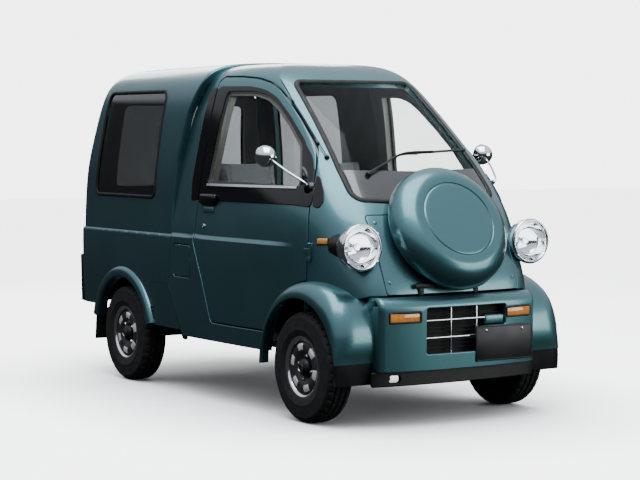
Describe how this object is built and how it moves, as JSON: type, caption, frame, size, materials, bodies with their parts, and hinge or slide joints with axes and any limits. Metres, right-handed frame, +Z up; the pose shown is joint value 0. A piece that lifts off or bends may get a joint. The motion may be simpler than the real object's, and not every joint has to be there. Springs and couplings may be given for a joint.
{
  "type": "small delivery van with a closed load box",
  "caption": "Compact two-door delivery van: tapered cab, round headlights, spare wheel cover on the nose, closed load box with a top-hinged tailgate.",
  "frame": {"origin": "centre of the footprint box, on the floor", "axes": "+Z up, the front faces -Y, +X towards the vehicle's left side"},
  "size_m": [1.392, 2.941, 1.715],
  "materials": {
    "paint": "metallic blue-green, glossy",
    "paint_dark": "satin underside paint",
    "chrome": "bright plated",
    "black_plastic": "grained black",
    "black_steel": "satin black",
    "cast_metal": "raw cast",
    "glass": "clear, faint grey tint",
    "dark_glass": "dark privacy tint",
    "amber": "ribbed amber lens",
    "red_lens": "ribbed red lens",
    "tyre": "black rubber",
    "trim_plastic": "grained grey",
    "seat_fabric": "woven grey cloth"
  },
  "bodies": {
    "body": {"cab_shell": "paint", "nose_panel": "paint", "spare_wheel_cover": "paint", "front_bumper": "paint", "front_grille": "chrome", "front_valance": "black_plastic", "front_fenders": "paint", "headlight_housings": "chrome", "headlight_lenses": "glass", "signal_lamps": "amber", "windscreen": "glass", "wiper": "black_plastic", "bed_sides": "paint", "box_shell": "paint", "side_windows": "dark_glass", "rear_bumper": "black_plastic", "tail_lamps": "red_lens", "number_plates": "black_plastic", "floor_pan": "paint_dark", "chassis_frame": "black_steel", "engine_and_exhaust": "cast_metal", "rear_axle": "black_steel", "front_suspension": "black_steel", "dashboard": "trim_plastic", "seats": "seat_fabric"},
    "door_right": {"door_right": "paint", "door_glass_right": "glass", "mirror_right": "chrome"},
    "door_left": {"door_left": "paint", "door_glass_left": "glass", "mirror_left": "chrome"},
    "tailgate": {"tailgate": "paint", "tailgate_glass": "dark_glass"},
    "fuel_lid": {"fuel_lid": "paint"},
    "steering_wheel": {"steering_wheel": "trim_plastic"},
    "knuckle_right": {"knuckle_right": "cast_metal"},
    "knuckle_left": {"knuckle_left": "cast_metal"},
    "wheel_front_right": {"rim_front_right": "chrome", "tyre_front_right": "tyre"},
    "wheel_front_left": {"rim_front_left": "chrome", "tyre_front_left": "tyre"},
    "wheel_rear_right": {"rim_rear_right": "chrome", "tyre_rear_right": "tyre"},
    "wheel_rear_left": {"rim_rear_left": "chrome", "tyre_rear_left": "tyre"}
  },
  "joints": [
    {"name": "steer_right", "type": "hinge", "parent": "body", "child": "knuckle_right", "pos_m": [-0.5, -0.9695, 0.258], "axis": [0, 0, 1], "range_deg": [-33, 33]},
    {"name": "steer_left", "type": "hinge", "parent": "body", "child": "knuckle_left", "pos_m": [0.5, -0.9695, 0.258], "axis": [0, 0, 1], "range_deg": [-33, 33]},
    {"name": "steering_wheel_turn", "type": "hinge", "parent": "body", "child": "steering_wheel", "pos_m": [-0.275, -0.5895, 0.985], "axis": [0, 0.8192, 0.5736], "range_deg": [-530, 530]},
    {"name": "wheel_front_right_spin", "type": "hinge", "parent": "knuckle_right", "child": "wheel_front_right", "pos_m": [-0.553, -0.9695, 0.258], "axis": [1, 0, 0], "continuous": true},
    {"name": "wheel_front_left_spin", "type": "hinge", "parent": "knuckle_left", "child": "wheel_front_left", "pos_m": [0.553, -0.9695, 0.258], "axis": [1, 0, 0], "continuous": true},
    {"name": "wheel_rear_right_spin", "type": "hinge", "parent": "body", "child": "wheel_rear_right", "pos_m": [-0.553, 0.8705, 0.258], "axis": [1, 0, 0], "continuous": true},
    {"name": "wheel_rear_left_spin", "type": "hinge", "parent": "body", "child": "wheel_rear_left", "pos_m": [0.553, 0.8705, 0.258], "axis": [1, 0, 0], "continuous": true},
    {"name": "door_right_hinge", "type": "hinge", "parent": "body", "child": "door_right", "pos_m": [-0.578, -0.9785, 0.8], "axis": [0, 0, 1], "range_deg": [0, 65]},
    {"name": "door_left_hinge", "type": "hinge", "parent": "body", "child": "door_left", "pos_m": [0.578, -0.9785, 0.8], "axis": [0, 0, -1], "range_deg": [0, 65]},
    {"name": "tailgate_hinge", "type": "hinge", "parent": "body", "child": "tailgate", "pos_m": [0, 1.3265, 1.604], "axis": [1, 0, 0], "range_deg": [0, 85]},
    {"name": "fuel_lid_hinge", "type": "hinge", "parent": "body", "child": "fuel_lid", "pos_m": [-0.625, 0.0895, 0.69], "axis": [0, 0, 1], "range_deg": [0, 100]}
  ],
  "couplings": [
    {"joint": "steer_left", "follows": "steer_right", "ratio": 1},
    {"joint": "steering_wheel_turn", "follows": "steer_right", "ratio": 16}
  ]
}
